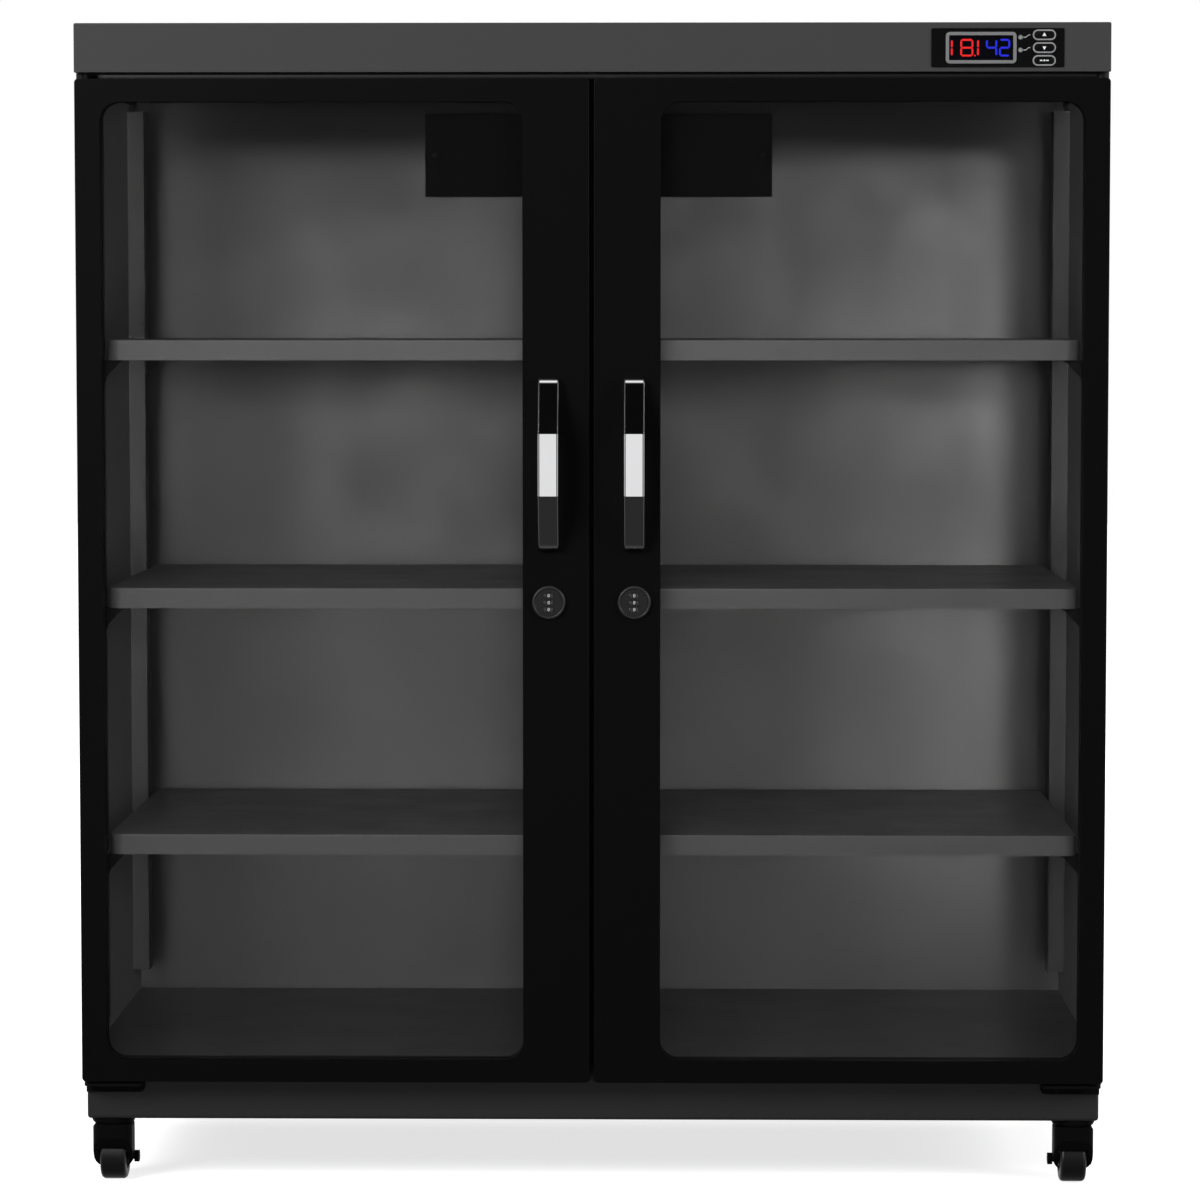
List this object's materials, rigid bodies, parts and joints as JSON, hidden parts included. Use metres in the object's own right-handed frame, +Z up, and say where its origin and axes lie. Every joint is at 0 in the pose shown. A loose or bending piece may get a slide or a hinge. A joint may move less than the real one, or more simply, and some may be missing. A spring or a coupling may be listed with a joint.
{
  "type": "desiccator cabinet",
  "caption": "Upright dry storage cabinet on castors: glazed steel doors with bridge handles and combination locks, adjustable shelves, dryer unit and control display.",
  "frame": {"origin": "centre of the whole footprint, on the floor under the castors", "axes": "+Z up, the doors face -Y, +X to the right as seen from the front"},
  "size_m": [0.9, 0.45, 1.025],
  "materials": {
    "body_paint": "satin black powder coat",
    "cover_paint": "satin dark grey powder coat",
    "door_paint": "semi-gloss black powder coat",
    "interior_paint": "satin dark grey powder coat",
    "shelf_paint": "satin grey powder coat",
    "bracket_paint": "satin black",
    "clear_glass": "clear, polished",
    "seal_rubber": "matt black",
    "bush_nylon": "natural nylon",
    "chrome": "polished chrome plate",
    "lock_metal": "dark satin plate",
    "dial_plastic": "matt black with light numbers",
    "panel_plastic": "gloss black",
    "display_window": "smoked window",
    "lamp_lens": "clear lens",
    "button_plastic": "matt black with pale outline",
    "circuit_board": "green solder resist",
    "dryer_plastic": "matt black moulding",
    "desiccant_body": "pale cassette",
    "bright_steel": "plain steel",
    "castor_plastic": "black moulded nylon",
    "wheel_rubber": "black wheel"
  },
  "bodies": {
    "cabinet": {"base_plinth": "body_paint", "side_panel_right": "body_paint", "side_panel_left": "body_paint", "back_panel": "interior_paint", "roof_panel": "interior_paint", "floor_pan": "interior_paint", "front_frame": "body_paint", "top_cover": "cover_paint", "hinge_brackets": "bracket_paint", "shelf_uprights": "interior_paint", "shelf_clips": "bracket_paint", "control_panel": "panel_plastic", "display_module": "display_window", "indicator_leds": "lamp_lens", "control_board": "circuit_board", "dryer_cover": "dryer_plastic", "dryer_case": "dryer_plastic", "desiccant_pack": "desiccant_body", "shutter_actuator": "bright_steel", "humidity_sensor": "dryer_plastic", "power_inlet": "dryer_plastic", "shelf_lower": "shelf_paint", "shelf_middle": "shelf_paint", "shelf_upper": "shelf_paint", "castor_mounts": "castor_plastic"},
    "door_left": {"door_frame_left": "door_paint", "door_liner_left": "door_paint", "door_glass_left": "clear_glass", "door_seals_left": "seal_rubber", "door_bushes_left": "bush_nylon", "door_handle_left": "chrome", "lock_bezel_left": "lock_metal"},
    "lock_core_left": {"lock_core_left": "lock_metal"},
    "lock_dial_1_left": {"lock_dial_1_left": "dial_plastic"},
    "lock_dial_2_left": {"lock_dial_2_left": "dial_plastic"},
    "lock_dial_3_left": {"lock_dial_3_left": "dial_plastic"},
    "door_right": {"door_frame_right": "door_paint", "door_liner_right": "door_paint", "door_glass_right": "clear_glass", "door_seals_right": "seal_rubber", "door_bushes_right": "bush_nylon", "door_handle_right": "chrome", "lock_bezel_right": "lock_metal"},
    "lock_core_right": {"lock_core_right": "lock_metal"},
    "lock_dial_1_right": {"lock_dial_1_right": "dial_plastic"},
    "lock_dial_2_right": {"lock_dial_2_right": "dial_plastic"},
    "lock_dial_3_right": {"lock_dial_3_right": "dial_plastic"},
    "button_up": {"button_up": "button_plastic"},
    "button_down": {"button_down": "button_plastic"},
    "button_set": {"button_set": "button_plastic"},
    "inner_shutter": {"inner_shutter": "dryer_plastic"},
    "outer_shutter": {"outer_shutter": "dryer_plastic"},
    "castor_yoke_front_left": {"castor_yoke_front_left": "castor_plastic"},
    "castor_wheel_front_left": {"castor_wheel_front_left": "wheel_rubber"},
    "castor_yoke_front_right": {"castor_yoke_front_right": "castor_plastic"},
    "castor_wheel_front_right": {"castor_wheel_front_right": "wheel_rubber"},
    "castor_yoke_rear_left": {"castor_yoke_rear_left": "castor_plastic"},
    "castor_wheel_rear_left": {"castor_wheel_rear_left": "wheel_rubber"},
    "castor_yoke_rear_right": {"castor_yoke_rear_right": "castor_plastic"},
    "castor_wheel_rear_right": {"castor_wheel_rear_right": "wheel_rubber"}
  },
  "joints": [
    {"name": "door_left_hinge", "type": "hinge", "parent": "cabinet", "child": "door_left", "pos_m": [-0.444, -0.186, 0.5], "axis": [0, 0, -1], "range_deg": [0, 120]},
    {"name": "lock_left_turn", "type": "hinge", "parent": "door_left", "child": "lock_core_left", "pos_m": [-0.0374, -0.19, 0.521], "axis": [0, -1, 0], "range_deg": [0, 90]},
    {"name": "dial_1_left_spin", "type": "hinge", "parent": "lock_core_left", "child": "lock_dial_1_left", "pos_m": [-0.0374, -0.1929, 0.5149], "axis": [0, 0, 1], "continuous": true},
    {"name": "dial_2_left_spin", "type": "hinge", "parent": "lock_core_left", "child": "lock_dial_2_left", "pos_m": [-0.0374, -0.1929, 0.521], "axis": [0, 0, 1], "continuous": true},
    {"name": "dial_3_left_spin", "type": "hinge", "parent": "lock_core_left", "child": "lock_dial_3_left", "pos_m": [-0.0374, -0.1929, 0.5271], "axis": [0, 0, 1], "continuous": true},
    {"name": "door_right_hinge", "type": "hinge", "parent": "cabinet", "child": "door_right", "pos_m": [0.444, -0.186, 0.5], "axis": [0, 0, 1], "range_deg": [0, 120]},
    {"name": "lock_right_turn", "type": "hinge", "parent": "door_right", "child": "lock_core_right", "pos_m": [0.0374, -0.19, 0.521], "axis": [0, 1, 0], "range_deg": [0, 90]},
    {"name": "dial_1_right_spin", "type": "hinge", "parent": "lock_core_right", "child": "lock_dial_1_right", "pos_m": [0.0374, -0.1929, 0.5149], "axis": [0, 0, 1], "continuous": true},
    {"name": "dial_2_right_spin", "type": "hinge", "parent": "lock_core_right", "child": "lock_dial_2_right", "pos_m": [0.0374, -0.1929, 0.521], "axis": [0, 0, 1], "continuous": true},
    {"name": "dial_3_right_spin", "type": "hinge", "parent": "lock_core_right", "child": "lock_dial_3_right", "pos_m": [0.0374, -0.1929, 0.5271], "axis": [0, 0, 1], "continuous": true},
    {"name": "button_up_press", "type": "slide", "parent": "cabinet", "child": "button_up", "axis": [0, 1, 0], "range_m": [0, 0.0008], "stiffness_N_per_m": 400},
    {"name": "button_down_press", "type": "slide", "parent": "cabinet", "child": "button_down", "axis": [0, 1, 0], "range_m": [0, 0.0008], "stiffness_N_per_m": 400},
    {"name": "button_set_press", "type": "slide", "parent": "cabinet", "child": "button_set", "axis": [0, 1, 0], "range_m": [0, 0.0008], "stiffness_N_per_m": 400},
    {"name": "outer_shutter_open", "type": "hinge", "parent": "cabinet", "child": "outer_shutter", "pos_m": [0, 0.2222, 0.8893], "axis": [-1, 0, 0], "range_deg": [0, 50]},
    {"name": "inner_shutter_close", "type": "hinge", "parent": "cabinet", "child": "inner_shutter", "pos_m": [0, 0.2053, 0.8893], "axis": [1, 0, 0], "range_deg": [0, 50]},
    {"name": "castor_front_left_swivel", "type": "hinge", "parent": "cabinet", "child": "castor_yoke_front_left", "pos_m": [-0.428, -0.152, 0.05], "axis": [0, 0, 1], "continuous": true},
    {"name": "castor_front_left_roll", "type": "hinge", "parent": "castor_yoke_front_left", "child": "castor_wheel_front_left", "pos_m": [-0.428, -0.144, 0.02], "axis": [1, 0, 0], "continuous": true},
    {"name": "castor_front_right_swivel", "type": "hinge", "parent": "cabinet", "child": "castor_yoke_front_right", "pos_m": [0.428, -0.152, 0.05], "axis": [0, 0, 1], "continuous": true},
    {"name": "castor_front_right_roll", "type": "hinge", "parent": "castor_yoke_front_right", "child": "castor_wheel_front_right", "pos_m": [0.428, -0.144, 0.02], "axis": [1, 0, 0], "continuous": true},
    {"name": "castor_rear_left_swivel", "type": "hinge", "parent": "cabinet", "child": "castor_yoke_rear_left", "pos_m": [-0.428, 0.18, 0.05], "axis": [0, 0, 1], "continuous": true},
    {"name": "castor_rear_left_roll", "type": "hinge", "parent": "castor_yoke_rear_left", "child": "castor_wheel_rear_left", "pos_m": [-0.428, 0.188, 0.02], "axis": [1, 0, 0], "continuous": true},
    {"name": "castor_rear_right_swivel", "type": "hinge", "parent": "cabinet", "child": "castor_yoke_rear_right", "pos_m": [0.428, 0.18, 0.05], "axis": [0, 0, 1], "continuous": true},
    {"name": "castor_rear_right_roll", "type": "hinge", "parent": "castor_yoke_rear_right", "child": "castor_wheel_rear_right", "pos_m": [0.428, 0.188, 0.02], "axis": [1, 0, 0], "continuous": true}
  ],
  "couplings": [
    {"joint": "inner_shutter_close", "follows": "outer_shutter_open", "ratio": 1}
  ]
}
